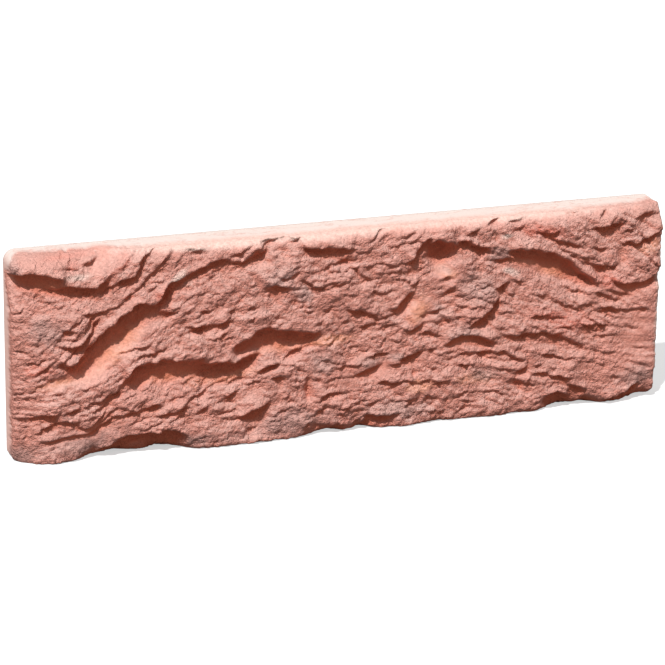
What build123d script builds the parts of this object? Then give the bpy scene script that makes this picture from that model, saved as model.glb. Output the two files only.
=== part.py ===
from build123d import *
import math
import os

# Concrete cladding stone, millimetres, +Z up. It stands on a long edge with the riven face to -Y.

# Overall sizes
LENGTH = 210.0
HEIGHT = 65.0
FACE_DEPTH = 13.6
CORNER_RADIUS = 3.5
RELIEF = 1.2

# How far the face rolls back into each side, and over what distance: left, right, bottom, top
ROLL_DEPTH = (6.5, 2.0, 1.5, 3.0)
ROLL_REACH = (4.5, 3.0, 3.0, 3.0)
# The top rolls further back at the left, fading out this far along
TOP_LEFT_EXTRA = (4.0, 3.0)
TOP_LEFT_FADE = 50.0

# The relief lists below are drawn on a pattern of this size and stretch with the stone
PATTERN_LENGTH = 210.0
PATTERN_HEIGHT = 65.0
GRID_STEP = 2.6
GRID_MARGIN = 5.0

# A lip stands above the level around it by LIP_SHARE of the ledge's step and drops the rest.
# The slope up to it and the hollow under it are a few millimetres long, and longer for larger steps
LEDGE_SCALE = 1.3
LIP_SHARE = 0.36
LIP_SLOPE = 0.3
RISE_LENGTH = (1.2, 1.0)
HOLLOW_LENGTH = (1.5, 2.2)
END_FADE = 3.5
RELIEF_LIMIT = 4.6

# Casting rounds the sharpest edges of the riven model: rounds of averages over the grid
SOFTENING_ROUNDS = 2
SURFACE_TOLERANCE = 0.05

# Ledges: how far each steps down, then its lip from left to right as (along, up) points of the pattern
LEDGES = [
    # left end: upper lip, the tongue under it and the notches above
    (3.3, [(-4, 62.8), (0, 61.5), (4, 60.6), (9, 60), (13, 59.5), (17, 59)]),
    (2.2, [(-8, 62.4), (-2, 61.9), (2, 61.1), (8, 60.2)]),
    (2.2, [(6, 56.2), (10, 56.5), (14, 56.2), (17, 55.9), (21, 55.2), (24, 55), (26.5, 56), (29, 58.5),
           (31, 61)]),
    # left ledges between the lip and the main groove
    (1.6, [(10.5, 38.8), (14, 37.9), (19, 38), (21, 39.5), (23, 42), (24.5, 44.6), (28, 44.8)]),
    # main groove, climbing from the left end to the top middle
    (3.6, [(11.5, 31.8), (14, 32.4), (17, 32.2), (19, 33), (20.5, 35), (22.5, 37.2), (25, 39.2),
           (29, 42), (31, 44.3), (33.5, 46.3), (36.5, 48.3), (39, 49.4), (42, 48.9), (45, 51),
           (48, 54)]),
    (2.2, [(43, 50), (46, 53), (50, 55.5), (54, 57), (58, 58.5), (61, 60), (66, 60.3), (70, 60),
           (72, 60.8), (77, 61.5), (80, 62.8)]),
    (1.9, [(42, 46.3), (45, 45.7), (48, 45.4), (51, 45.8)]),
    # deep hollow left of the middle
    (3.1, [(31.5, 24.2), (33, 25.8), (36, 28.6), (39, 29.9), (45, 30.1), (49, 30), (54, 31),
           (57, 30.5), (59, 28.8), (62, 28), (65, 28.4), (69, 28.3), (73, 28.8), (76.5, 29.2)]),
    # thin cracks of the lower left
    (2.4, [(24, 2), (27, 3.8), (30, 5.2), (33, 6.4), (38, 8), (41, 6.6), (44, 6), (46, 8.2), (49, 7.4),
           (54, 5)]),
    # top middle
    (1.5, [(74.5, 64.4), (80, 65), (90, 65)]),
    (2.1, [(87.5, 62.2), (91, 61.7), (95, 62), (99, 61.2), (103, 60.5), (107, 59.6)]),
    (1.7, [(76, 51.2), (79, 50.7), (82, 50.4), (86, 49.4)]),
    # middle, crumbly
    (1.4, [(63.5, 42.3), (66, 44.6), (69.5, 45.4)]),
    (2, [(52, 39.4), (56, 40.4), (59, 40), (61, 40.4)]),
    (3.4, [(65.5, 31), (67.5, 33), (70, 34.6), (73, 36.2), (75, 37.8), (78, 38.2), (82, 37.4),
           (86, 36.2), (91, 35.3), (97, 34.8)]),
    (2.4, [(74.5, 22.6), (77, 24.3), (80.5, 25.4), (83, 26.2)]),
    (1.5, [(78.5, 20.5), (82, 20.1), (86, 20.4)]),
    (2, [(54.5, 11), (57.5, 13.8), (61, 15.4)]),
    (2.2, [(67.5, 9.8), (71, 10.1), (74, 10.6), (76.5, 11.8), (80, 14)]),
    # right of the middle
    (1.4, [(108.5, 62.2), (113, 63.6), (118.5, 65.4)]),
    (1.9, [(122.5, 53.6), (125, 56.5), (127, 58.6), (129, 60.6), (131.5, 61.6), (134, 61)]),
    (3.5, [(130.5, 58.6), (132, 59.6), (134, 60), (137, 59.6), (140, 59.1), (144, 57.6)]),
    (2.4, [(143, 57.2), (147, 57.1), (149, 56.6), (152, 55)]),
    (1.8, [(147.5, 63), (151, 64.2), (156, 65.8)]),
    (2.2, [(116, 40.9), (120, 40.6), (122, 42.5), (124, 44.9), (127, 44.4)]),
    (1.4, [(103, 41), (107, 40), (111, 38.8), (114, 38.4)]),
    (1.5, [(112.5, 32.8), (116, 34.5), (119, 35.1), (121.5, 35.8)]),
    (1.5, [(106.5, 34.2), (110, 35.1), (114.5, 35.7)]),
    (1.4, [(120.5, 31.6), (124, 32.8), (127, 33.6), (131.5, 34.3)]),
    (1.5, [(132.5, 35.9), (136, 35.4), (140, 34.4)]),
    (1.4, [(133.5, 46.3), (137, 47.6), (140, 46.4)]),
    (1.4, [(151.5, 43), (155, 43.6), (159, 44.2)]),
    (1.7, [(143, 30.4), (147, 33.5), (149.5, 36), (151.5, 38.5), (154.5, 40.6)]),
    (2, [(134.5, 26), (138, 27.6), (141, 28.4), (144, 28.6), (147, 28), (149, 26.8), (151, 25.5),
           (155, 24.4)]),
    (1.5, [(146, 23.2), (150, 22), (154, 21.6), (159, 20.8), (162, 19.6), (165.5, 18.6)]),
    (2.1, [(103.5, 17.4), (106, 18.6), (109, 20), (112, 21), (116, 21.4), (119, 20.9), (123.5, 21)]),
    (1.5, [(119.5, 22.6), (124, 22.6), (126, 24), (130, 24.8)]),
    (1.5, [(129, 25), (132, 25.9), (135, 25.5)]),
    (2, [(109, 3.6), (113, 4.7), (117, 4.6), (120.5, 5.8)]),
    # right third, laminae falling to the right
    (1.6, [(164.5, 60.2), (168, 59.6), (171, 59.3), (175, 60.2)]),
    (3.5, [(155.5, 55.6), (158, 55.2), (162, 55), (166, 54.9), (170, 53.6), (173, 52.1), (176, 50.8),
           (178, 49.5), (181, 47.1), (184, 44.5), (188.5, 41.2)]),
    (1.7, [(183.5, 60.2), (187, 59.8), (190, 60), (193, 60.2), (197, 61)]),
    (1.7, [(198.5, 61.6), (203, 62.6), (206, 63.6), (210, 63.4)]),
    (1.6, [(193.5, 54.8), (197, 54), (200, 53.8), (204, 55), (210, 57.4)]),
    (2.1, [(192, 42.2), (196, 41), (199, 40.5), (203, 40.7), (206, 42.3), (211, 44)]),
    (1.4, [(163.5, 32.3), (168, 32.3), (172, 31.8), (178, 31.2)]),
    (1.5, [(155, 28.2), (159, 27.6), (163, 27.8), (167, 27.8), (170, 27), (173, 26), (177, 25.2),
           (180, 23.5), (185, 21.4)]),
    (1.6, [(177.5, 8.9), (180.5, 8.6), (182.5, 7), (186, 5.6)]),
    (2.2, [(168.5, 6.4), (172, 6.4), (175, 7.3), (178, 6.2), (181, 4)]),
    (2.3, [(191, 2), (196, 3.4), (200, 4.6), (206, 5.8)]),
]

# Mounds and bowls: centre along, centre up, half length, half height, tilt in degrees, height
MOUNDS = [
    (6, 62.6, 9, 2, -6, 0.6), (19, 58, 7, 2.2, -4, 0.7), (27, 63.5, 8, 3, 42, -1.4),
    (7, 52, 10, 3, -4, -0.4), (3, 38, 7, 13, 0, 0.7), (30, 36, 11, 3.5, 42, -0.9),
    (40, 60, 12, 5, 35, 0.4), (27, 26, 9, 3.4, 40, 0.7), (44, 40, 9, 3.4, 20, 0.6),
    (50, 24, 13, 2.6, 6, -0.8), (38, 19, 9, 2, 18, 0.4), (10, 11, 9, 4, 10, 0.3),
    (33, 11, 12, 3, 8, 0.4), (40, 5, 12, 3, 0, -0.5), (66, 51, 13, 5.5, 14, 1.3),
    (82, 54, 7, 4, 0, 0.8), (97, 63.4, 8, 1.8, -3, 0.8), (92, 53.6, 4.5, 2.4, -20, 0.6),
    (78, 42, 8, 2.2, 8, 0.7), (60, 34, 9, 2.6, 4, 0.5), (84, 37.6, 3.4, 2.2, 0, 0.7),
    (77, 29, 10, 2.6, 20, -0.2), (75, 13.4, 4, 1.8, 12, 0.7), (92, 15, 1.2, 4, 4, -1.9),
    (94, 26, 7, 4, 0, 0.6), (96, 22, 4, 2.6, 0, 0.5), (86, 6, 9, 3, 0, 0.5), (64, 5, 9, 3, 0, 0.5),
    (101, 44, 9, 4, -5, 0.6), (96, 37.4, 6, 2.2, 0, 0.5), (128, 55, 3.4, 3.6, 50, 0.5),
    (127, 37, 3.4, 5.5, -32, 0.7), (136, 49.5, 4.5, 2.4, -25, -0.5), (155, 56, 4.5, 3, 0, 0.9),
    (149, 40.5, 4, 2, 30, 0.7), (133, 16, 12, 5, 0, 0.5), (147, 14, 8, 4, -5, -0.3),
    (107, 47, 6, 3, 0, 0.5), (171, 62, 7, 2.4, -14, 1), (176, 58.6, 5, 2, -18, 0.5),
    (191, 49.6, 4.5, 2.4, -8, 0.8), (196.4, 49, 1.7, 3.2, 10, -1.3), (202, 46, 5, 4, 25, 0.4),
    (192, 62.6, 5, 1.8, 10, 0.6), (206, 50, 4, 5, 0, 0.4), (160, 16.6, 5, 1.8, -10, 0.8),
    (174, 16, 8, 2.4, -14, 0.4), (172, 43.8, 9, 2.4, -14, -0.4), (206, 37, 4, 4, 0, 0.5),
    (196, 11, 13, 7, 0, 0.5), (188, 4, 9, 2.4, -4, 0.5), (162, 4, 8, 2.6, 0, 0.5),
    (151, 62, 6, 2.2, 8, 0.5),
]

# Broken stretches of the bottom arris: centre along, half width, how far the face is broken back
BOTTOM_BREAKS = [
    (1, 4, 5.0), (24, 5, 5.5), (33, 7, 6.0), (46, 7, 7.5), (98, 6, 4.5), (110, 5, 3.4),
    (134, 5, 2.0), (177, 5, 5.0), (186, 5, 4.0), (207, 5, 7.0),
]
BREAK_REACH = 3.0


def ease(t):
    t = min(1.0, max(0.0, t))
    return t * t * (3.0 - 2.0 * t)


def lip_distance(x, z, lip):
    """Distance to the lip, positive above it and negative below."""
    best = None
    for (x0, z0), (x1, z1) in zip(lip, lip[1:]):
        length = math.hypot(x1 - x0, z1 - z0)
        ux, uz = (x1 - x0) / length, (z1 - z0) / length
        t = min(length, max(0.0, (x - x0) * ux + (z - z0) * uz))
        gap = math.hypot(x - x0 - t * ux, z - z0 - t * uz)
        if best is None or gap < abs(best):
            best = gap if (z - z0) * ux - (x - x0) * uz >= 0 else -gap
    return best


def end_fade(x, z, lip):
    """Fades a ledge out towards both ends of the line that joins them."""
    (x0, z0), (x1, z1) = lip[0], lip[-1]
    chord = math.dist(lip[0], lip[-1])
    reached = ((x - x0) * (x1 - x0) + (z - z0) * (z1 - z0)) / chord
    return ease(min(reached, chord - reached) / min(END_FADE, chord / 2))


def ledge_height(x, z, ledge):
    step, lip = LEDGE_SCALE * ledge[0], ledge[1]
    ends = end_fade(x, z, lip)
    if ends == 0.0:
        return 0.0
    gap = lip_distance(x, z, lip)
    rise, hollow = (least + more * step for least, more in (RISE_LENGTH, HOLLOW_LENGTH))
    above = LIP_SHARE * step * math.exp(-max(gap, 0.0) / rise)
    below = -(1 - LIP_SHARE) * step * math.exp(-((min(gap, 0.0) / hollow) ** 2))
    side = ease(1 + gap / (2 * LIP_SLOPE * step))
    return (below + (above - below) * side) * ends


def mound_height(x, z, mound):
    along, up, half_length, half_height, tilt, height = mound
    c, s = math.cos(math.radians(tilt)), math.sin(math.radians(tilt))
    a = ((x - along) * c + (z - up) * s) / half_length
    b = ((z - up) * c - (x - along) * s) / half_height
    return height * math.exp(-(a * a + b * b))


def roll_depth(x, z):
    """Quarter-ellipse rolls that carry the riven face back into the four sides."""
    extra = ease(1 - x / TOP_LEFT_FADE)
    gaps = (x, LENGTH - x, z, HEIGHT - z)
    total = 0.0
    for gap, depth, reach, more in zip(gaps, ROLL_DEPTH, ROLL_REACH, (0, 0, 0, extra)):
        near = max(0.0, 1 - gap / (reach + more * TOP_LEFT_EXTRA[1]))
        total = math.hypot(total, (depth + more * TOP_LEFT_EXTRA[0]) * (1 - math.sqrt(1 - near * near)))
    return total


def break_depth(x, z):
    back = sum(d * math.exp(-(((x - c) / w) ** 2)) for c, w, d in BOTTOM_BREAKS)
    return back * math.exp(-max(z, 0.0) / BREAK_REACH)


def face_depth(x, z):
    """Depth of the riven face in front of the back, at a point measured from the lower left corner."""
    px, pz = x * PATTERN_LENGTH / LENGTH, z * PATTERN_HEIGHT / HEIGHT
    relief = sum(ledge_height(px, pz, ledge) for ledge in LEDGES)
    relief += sum(mound_height(px, pz, mound) for mound in MOUNDS)
    relief = RELIEF_LIMIT * math.tanh(relief / RELIEF_LIMIT)
    return FACE_DEPTH + RELIEF * relief - roll_depth(x, z) - break_depth(px, pz)


def softened(depths):
    """Averages each point with its neighbours, 1-2-1, first along one direction and then the other."""
    for _ in range(2 * SOFTENING_ROUNDS):
        depths = [[(a + 2 * b + c) / 4 for a, b, c in zip([line[0]] + line, line, line[1:] + [line[-1]])]
                  for line in depths]
        depths = [list(line) for line in zip(*depths)]
    return depths


def grid_line(size):
    count = round((size + 2 * GRID_MARGIN) / GRID_STEP)
    return [-GRID_MARGIN + (size + 2 * GRID_MARGIN) * i / count for i in range(count + 1)]


def riven_face():
    xs, zs = grid_line(LENGTH), grid_line(HEIGHT)
    depths = [[face_depth(min(LENGTH, max(0.0, x)), min(HEIGHT, max(0.0, z))) for z in zs] for x in xs]
    lines = zip(xs, softened(depths))
    points = [[(x - LENGTH / 2, -depth, z) for z, depth in zip(zs, line)] for x, line in lines]
    return Face.make_surface_from_array_of_points(points, tol=SURFACE_TOLERANCE, min_deg=3, max_deg=5)


def cast_block():
    """Block as it leaves the mould, open towards the front: square sides, worn corners, flat back."""
    outline = RectangleRounded(LENGTH, HEIGHT, CORNER_RADIUS)
    return extrude(Plane.XZ * Pos(0, HEIGHT / 2) * outline, 3 * FACE_DEPTH)


def cladding_stone():
    behind_face = Solid.extrude(riven_face(), Vector(0, 3 * FACE_DEPTH, 0))
    stone = (cast_block() & behind_face).solids().sort_by(SortBy.VOLUME)[-1]
    box = stone.bounding_box()
    return Pos(-box.center().X, -box.center().Y, -box.min.Z) * stone


os.makedirs("parts", exist_ok=True)
stone = cladding_stone()
export_step(stone, "parts/cladding_stone.step")
box = stone.bounding_box()
print("cladding_stone", box.size, "volume", round(stone.volume / 1000, 2), "cm3", stone.is_valid)
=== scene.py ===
import math

import bpy
import numpy as np
from mathutils import Matrix, Vector


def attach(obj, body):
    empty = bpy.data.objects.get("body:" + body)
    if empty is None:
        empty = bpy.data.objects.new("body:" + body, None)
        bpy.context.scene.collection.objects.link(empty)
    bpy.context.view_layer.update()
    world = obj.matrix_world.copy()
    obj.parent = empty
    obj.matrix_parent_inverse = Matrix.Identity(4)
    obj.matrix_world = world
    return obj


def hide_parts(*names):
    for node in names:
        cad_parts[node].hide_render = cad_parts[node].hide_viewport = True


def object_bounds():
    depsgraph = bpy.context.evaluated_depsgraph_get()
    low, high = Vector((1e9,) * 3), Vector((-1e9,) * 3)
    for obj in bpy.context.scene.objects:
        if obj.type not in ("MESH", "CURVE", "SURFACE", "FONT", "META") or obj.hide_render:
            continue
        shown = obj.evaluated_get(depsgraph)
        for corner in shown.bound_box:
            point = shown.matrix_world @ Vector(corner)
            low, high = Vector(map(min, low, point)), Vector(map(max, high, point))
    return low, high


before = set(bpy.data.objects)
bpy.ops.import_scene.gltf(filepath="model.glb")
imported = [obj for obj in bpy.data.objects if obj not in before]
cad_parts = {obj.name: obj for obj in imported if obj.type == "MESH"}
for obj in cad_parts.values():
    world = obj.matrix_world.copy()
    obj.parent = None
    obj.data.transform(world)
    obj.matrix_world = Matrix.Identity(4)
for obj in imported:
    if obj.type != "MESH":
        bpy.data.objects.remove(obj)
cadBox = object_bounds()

print("frame loaded")

mm = 0.001


def hexColour(code, alpha=1.0):
    # sRGB hex to the linear colour that sockets take
    parts = [int(code[i:i + 2], 16) / 255 for i in (1, 3, 5)]
    return tuple(c / 12.92 if c <= 0.04045 else ((c + 0.055) / 1.055) ** 2.4 for c in parts) + (alpha,)


def addNode(tree, kind, settings=None, inputs=None):
    # one node with its settings, then its values and links by socket name or number
    node = tree.nodes.new(kind)
    for name, value in (settings or {}).items():
        setattr(node, name, value)
    for socket, value in (inputs or {}).items():
        if isinstance(value, bpy.types.NodeSocket):
            tree.links.new(value, node.inputs[socket])
        else:
            node.inputs[socket].default_value = value
    return node


# settings that many nodes share
plus, subtract = {"operation": "ADD"}, {"operation": "SUBTRACT"}
multiply, divide = {"operation": "MULTIPLY"}, {"operation": "DIVIDE"}
multiplyAdd = {"operation": "MULTIPLY_ADD"}
colours = {"data_type": "RGBA"}
onPoints = {"data_type": "FLOAT", "domain": "POINT"}
softEnds = {"interpolation_type": "SMOOTHSTEP"}


# the stone, in millimetres, measured from its lower left front corner
stoneForm = {
    "length": 210.0,
    "height": 65.0,
    "faceDepth": 13.6,      # back to the middle level of the riven face
    "cornerRadius": 3.5,
    "topRightRadius": 1.6,  # the look is tighter at these two corners
    "lowerLeftRadius": 2.0,
    "faceStep": 0.42,       # spacing of the face's points
    "sideRings": (0.04, 0.09, 0.16, 0.26, 0.38, 0.53, 0.7, 0.88, 1.0),  # shares of the way from face to back
    "backBevel": 0.4,
    "rivenBack": (2.6, 3.2),    # how far the broken look runs back, at the left end and elsewhere
    "turnBack": 1.5,            # over this distance the fine relief turns from the face to the sides
    "endZone": 3.0,             # the strongest colours stay this far from the two ends
    "rollDepth": (3.2, 2.0, 1.5, 3.0),    # how far the face rolls back at the left, right, bottom and top
    "rollReach": (1.5, 2.0, 1.8, 4.0),
    "leftSlope": (5.0, 14.0),             # the face also falls away to the left end, over this length
    "topLeftRoll": (4.0, 3.0, 50.0),      # more depth and reach at the top, fading out this far along
    "breakReach": 3.0,      # how far up the face a broken bottom arris reaches
    "lipSlope": 0.26,       # half width of a lip's drop, for each mm that it drops
    "lipShare": 0.36,       # part of a ledge's step that stands above the level around it
    "ledgeScale": 1.28,     # all steps times this
    "hollowLength": (1.5, 1.75),   # length of the hollow under a lip, and how it grows with the step
    "riseLength": (1.2, 1.0),      # the same for the swell above a lip
    "endFade": 3.5,         # a ledge dies out over this length at its ends
    "reliefLimit": 6.0,
    "leastDepth": 3.0,      # the stone is never thinner than this
    "lipWander": ((5.2, 0.9), (2.1, 0.55)),   # irregular lips: size of the wander, and how far
    "stepVaries": (8.0, 0.35),      # a ledge's step varies along it: over what length, by what share
    "swells": ((10.0, 0.5), (5.0, 0.45), (2.6, 0.32)),   # soft uneven ground: size and height
}

# how far each ledge steps down, in mm, and its lip from left to right as (along, up)
ledges = [
    # left end: upper lip, the tongue under it and the notches above
    (3.3, [(-6, 62.4), (0, 61.2), (4, 60.5), (9, 60), (13, 59.3), (15.5, 58), (17, 56)]),
    (2.2, [(-8, 62), (-2, 61.5), (2, 60.9), (8, 60.2)]),
    (1.3, [(18.5, 63.2), (21, 62.9), (24, 63.6), (27, 64.6)]),
    (1.1, [(11.5, 61.8), (15, 61.9), (18, 61.5), (20.5, 61.2)]),
    (2.4, [(9, 56), (14, 55.9), (17, 55.6), (21, 55.2), (24, 55), (26.5, 56), (29, 58.5), (31, 61)]),
    # steep laminae right of the tongue
    (1.3, [(24.5, 50.6), (27, 53.5), (30, 56), (32, 57.5), (36, 58), (38, 60.5), (40, 63), (43, 64.5),
           (48, 66)]),
    (0.8, [(30, 55.3), (34, 57.3), (37, 58.2)]),
    (1.0, [(31, 49.6), (34, 52), (37, 54.5), (40, 57), (44, 60.5), (51, 64)]),
    (0.8, [(27.5, 46.3), (31, 48.5), (34, 51), (38, 52.6)]), (0.7, [(39, 55.4), (44, 54.8), (48, 56.2)]),
    (0.8, [(38.5, 52.9), (44, 53.4)]), (0.6, [(24, 51), (28.5, 50.2)]),
    (0.7, [(42, 58.2), (46, 59.6), (50, 60)]),
    # left ledges between the lip and the main groove
    (0.5, [(6, 52.4), (12, 51.6), (18, 51.5)]), (0.5, [(9, 50), (18, 49.3)]),
    (1.3, [(19.5, 46.3), (22, 47.4), (27, 47), (31, 46.4)]),
    (1.0, [(19, 40.8), (21, 44), (23, 46), (27, 46.3)]),
    (1.3, [(12.5, 44.3), (15, 43.2), (17, 43), (20, 42.4)]),
    (1.6, [(10.5, 38.8), (14, 37.9), (19, 38), (21, 39.5), (23, 42), (24.5, 44.6), (28, 44.8)]),
    (0.7, [(9, 40.8), (15, 40.3), (20, 39.7)]), (0.9, [(23.5, 38), (26, 40.6), (29.5, 41.8)]),
    # main groove, climbing from the left end to the top middle
    (1.2, [(7.5, 28.9), (10, 28), (13, 28.8)]),
    (3.2, [(11.5, 31.8), (14, 32.4), (17, 32.2), (19, 33), (20.5, 35), (22.5, 37.2), (25, 39.2), (29, 42),
           (31, 44.3), (33.5, 46.3), (36.5, 48.3), (39, 49.4), (42, 48.9), (45, 51), (48, 54)]),
    (2.2, [(43, 50), (46, 53), (50, 55.5), (54, 57), (58, 58.5), (61, 60), (66, 60.3), (70, 60),
           (72, 60.8), (77, 61.5), (80, 62.8)]),
    (1.9, [(42, 46.3), (45, 45.7), (48, 45.4), (51, 45.8)]),
    # ledges on the slope under the main groove
    (0.8, [(30.5, 32.5), (34, 33.4), (38, 34.5), (43, 35.6)]),
    (1.1, [(35, 30.6), (40, 32.5), (44, 33), (48, 35.6)]), (0.6, [(3.5, 23.8), (8, 25.2)]),
    (0.9, [(18, 23.2), (21, 23.4), (23, 25)]),
    (1.2, [(21, 17.2), (22, 19), (24, 19.4), (27, 20), (30, 22), (33, 25)]),
    (1.0, [(22.5, 15), (25, 17.5), (27, 18.5), (29, 20), (31, 21.5), (33.5, 22.7)]),
    (0.7, [(10.5, 21.4), (13, 22.7), (16, 23)]), (1.1, [(13.5, 17.8), (17, 17.6), (21, 18)]),
    (1.2, [(4.5, 14.6), (9, 16.5), (14.5, 17.4)]),
    # deep hollow left of the middle
    (3.7, [(31.5, 24.2), (33, 25.8), (36, 28.6), (39, 29.9), (45, 30.1), (49, 30), (54, 31), (57, 30.5),
           (59, 28.8), (62, 28), (65, 28.4), (69, 28.3), (73, 28.8), (76.5, 29.2)]),
    (1.1, [(40.5, 25.9), (43.5, 27.3), (47, 27.2)]),
    # thin cracks of the lower left
    (0.9, [(5, 10), (8, 12), (11, 13.5), (14, 14.3), (17, 13), (19, 12.5), (21, 11.7), (23, 12),
           (25, 13.5), (27, 16), (29, 18.4)]),
    (1.0, [(6, 6.8), (10, 8), (13, 8.8), (17, 9), (20, 8.7), (24, 10.5), (28, 12), (30, 13.8), (34, 14.3),
           (38, 14.6), (43, 15.2), (47, 16.8)]),
    (0.8, [(24, 11.5), (26, 12.5), (29, 15.5), (31, 16.2), (36, 17.2)]),
    (0.8, [(30, 15.4), (34, 15.7), (39, 15.3), (45, 16)]),
    (1.2, [(41.5, 12.4), (46, 13), (50, 14), (55, 14.4)]), (0.8, [(47, 17.4), (54, 18.2)]),
    (0.5, [(8, 4.6), (11, 5), (14, 6.8)]),
    (2.4, [(24, 2), (27, 3.8), (30, 5.2), (33, 6.4), (38, 8), (41, 6.6), (44, 6), (46, 8.2), (49, 7.4),
           (54, 5)]),
    # weathered lines of the left end
    (0.6, [(-2, 45), (5, 45.7)]), (0.5, [(-2, 42.6), (4, 43)]), (0.6, [(4, 38.8), (9, 38.6)]),
    (0.8, [(2, 32.8), (8, 33.4), (13, 34.8)]), (0.7, [(6, 30.3), (12, 31.6)]),
    (0.5, [(-2, 36), (6, 36.4)]),
    # chips along the top edge
    (1.3, [(52.5, 61.8), (55, 63.4), (58, 64.6)]), (1.2, [(84, 63.3), (87, 64.3), (90, 64.9)]),
    (1.3, [(112.5, 60.4), (115.5, 62), (118, 63.8)]), (1.2, [(123, 60.6), (126, 62), (129, 63.6)]),
    (1.3, [(141.5, 61), (144, 62.2), (147, 63.9)]), (1.2, [(157.5, 60.8), (160, 62.2), (163.5, 63.6)]),
    # top middle
    (1.1, [(51, 63.6), (56, 64.2), (60.5, 64)]), (1.0, [(65.5, 61.2), (68, 62.3), (71, 63), (74, 64.4)]),
    (1.3, [(69.5, 60.3), (72, 61.6), (75, 62.1), (78, 63.8), (83, 64.9)]),
    (1.5, [(74.5, 64.4), (80, 65), (90, 65)]),
    (2.1, [(87.5, 62.2), (91, 61.7), (95, 62), (99, 61.2), (103, 60.5), (107, 59.6)]),
    (0.9, [(96, 55.6), (101, 56.3), (106, 57.2)]), (1.0, [(106, 58.4), (110, 58.8), (113.5, 60)]),
    (0.8, [(101.5, 56), (106.5, 56)]), (1.7, [(76, 51.2), (79, 50.7), (82, 50.4), (86, 49.4)]),
    (0.9, [(87.5, 51), (90, 50.5), (92, 49.7), (95, 49.2), (98, 49.2), (102, 49.7)]),
    (0.6, [(91, 47.6), (95.5, 47.3)]), (0.6, [(97, 48.1), (104, 47.8)]),
    (1.0, [(103.5, 54.1), (107, 53.5), (109, 51.8), (111, 50.4), (114.5, 49.6)]),
    # middle, crumbly
    (1.2, [(56.5, 45.1), (61.5, 44.9)]), (1.4, [(63.5, 42.3), (66, 44.6), (69.5, 45.4)]),
    (1.0, [(69.5, 42.8), (73, 44.6), (76, 45.8)]), (0.8, [(71.5, 41), (75.5, 43.2)]),
    (2.0, [(52, 39.4), (56, 40.4), (59, 40), (61, 40.4)]), (1.2, [(59.5, 38.8), (63, 40), (67.5, 41.4)]),
    (0.8, [(60.5, 34.8), (64, 36), (67.5, 37.2)]), (0.7, [(63, 34.3), (70, 36.2)]),
    (4.0, [(65.5, 31), (67.5, 33), (70, 34.6), (73, 36.2), (75, 37.8), (78, 38.2), (82, 37.4), (86, 36.2),
           (91, 35.3), (97, 34.8)]),
    (0.8, [(65, 20), (70, 21.7), (75, 22.9)]),
    (2.4, [(74.5, 22.6), (77, 24.3), (80.5, 25.4), (83, 26.2)]),
    (1.1, [(81.5, 25.6), (85, 28), (88, 29), (92, 29.4)]), (1.5, [(78.5, 20.5), (82, 20.1), (86, 20.4)]),
    (1.2, [(69.5, 19.7), (75, 20.4), (79.5, 20.5)]), (1.2, [(63.5, 15.9), (67, 17.1), (70, 18)]),
    (1.3, [(50.5, 17), (54, 17.1), (57, 18.1), (60.5, 20.3)]),
    (2.0, [(54.5, 11), (57.5, 13.8), (61, 15.4)]),
    (1.2, [(60.5, 11.4), (64, 12), (67, 12.1), (70, 13.2)]), (0.8, [(60, 15), (66, 14.7), (70, 15.2)]),
    (2.2, [(67.5, 9.8), (71, 10.1), (74, 10.6), (76.5, 11.8), (80, 14)]),
    (0.7, [(59, 9.9), (64, 9.6), (68, 9.3), (72, 8.4)]), (0.9, [(69, 7.2), (73, 6.1), (77, 6.4)]),
    (0.8, [(84.5, 16), (90.5, 16.6)]), (1.1, [(92.5, 12.2), (97, 13.2), (101, 13.6), (106, 14.7)]),
    (0.8, [(93, 19.8), (97, 18.5)]), (0.8, [(87, 22.2), (92.5, 21.5)]),
    (0.8, [(93.5, 25.2), (97, 24.5), (100, 23), (105, 23.5)]), (0.7, [(99, 27.2), (105.5, 26.6)]),
    (0.7, [(88.5, 42.2), (93.5, 41.2)]), (0.8, [(94.5, 40.4), (98, 41.1), (101, 42)]),
    (0.7, [(98.5, 38), (103.5, 38.7)]), (0.8, [(84, 45.6), (90, 45)]), (0.7, [(83, 33.6), (88, 33.4)]),
    (0.9, [(89, 4.6), (93, 5.6)]), (1.0, [(100, 7.2), (106, 6.6)]), (0.8, [(94, 8.4), (99, 9)]),
    (0.7, [(80, 9.4), (87, 10)]), (0.8, [(82, 13), (88, 13.6)]), (0.7, [(76, 2.2), (84, 3)]),
    # right of the middle
    (1.4, [(108.5, 62.2), (113, 63.6), (118.5, 65.4)]), (1.3, [(118.5, 61.4), (122, 62.7), (127, 64.8)]),
    (1.9, [(122.5, 53.6), (125, 56.5), (127, 58.6), (129, 60.6), (131.5, 61.6), (134, 61)]),
    (4.4, [(129.5, 57.6), (131, 59.2), (133, 60.2), (135.5, 60), (138, 58.8), (140.5, 57.4)]),
    (2.6, [(138, 59), (141, 59.4), (144, 58.8), (146.5, 57)]),
    (2.4, [(143, 57.2), (147, 57.1), (149, 56.6), (152, 55)]),
    (1.8, [(147.5, 63), (151, 64.2), (156, 65.8)]), (0.8, [(132.5, 62.2), (136, 63), (141, 62)]),
    (1.2, [(149.5, 52.7), (153, 52), (159, 51.8)]), (1.0, [(117.5, 49.1), (121, 48.8), (125, 47.9)]),
    (1.0, [(122.5, 46.2), (126, 47.6), (129.5, 48.8)]),
    (1.0, [(109.5, 43.8), (113, 45.9), (117, 45.6), (121.5, 45)]),
    (2.7, [(116, 40.9), (120, 40.6), (122, 42.5), (124, 44.9), (127, 44.4)]),
    (1.4, [(103, 41), (107, 40), (111, 38.8), (114, 38.4)]),
    (1.2, [(110.5, 38.6), (114, 37.6), (119, 37.5)]),
    (1.5, [(112.5, 32.8), (116, 34.5), (119, 35.1), (121.5, 35.8)]),
    (1.5, [(106.5, 34.2), (110, 35.1), (114.5, 35.7)]), (0.9, [(101, 36.4), (105.5, 37.4)]),
    (1.4, [(120.5, 31.6), (124, 32.8), (127, 33.6), (131.5, 34.3)]),
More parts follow.
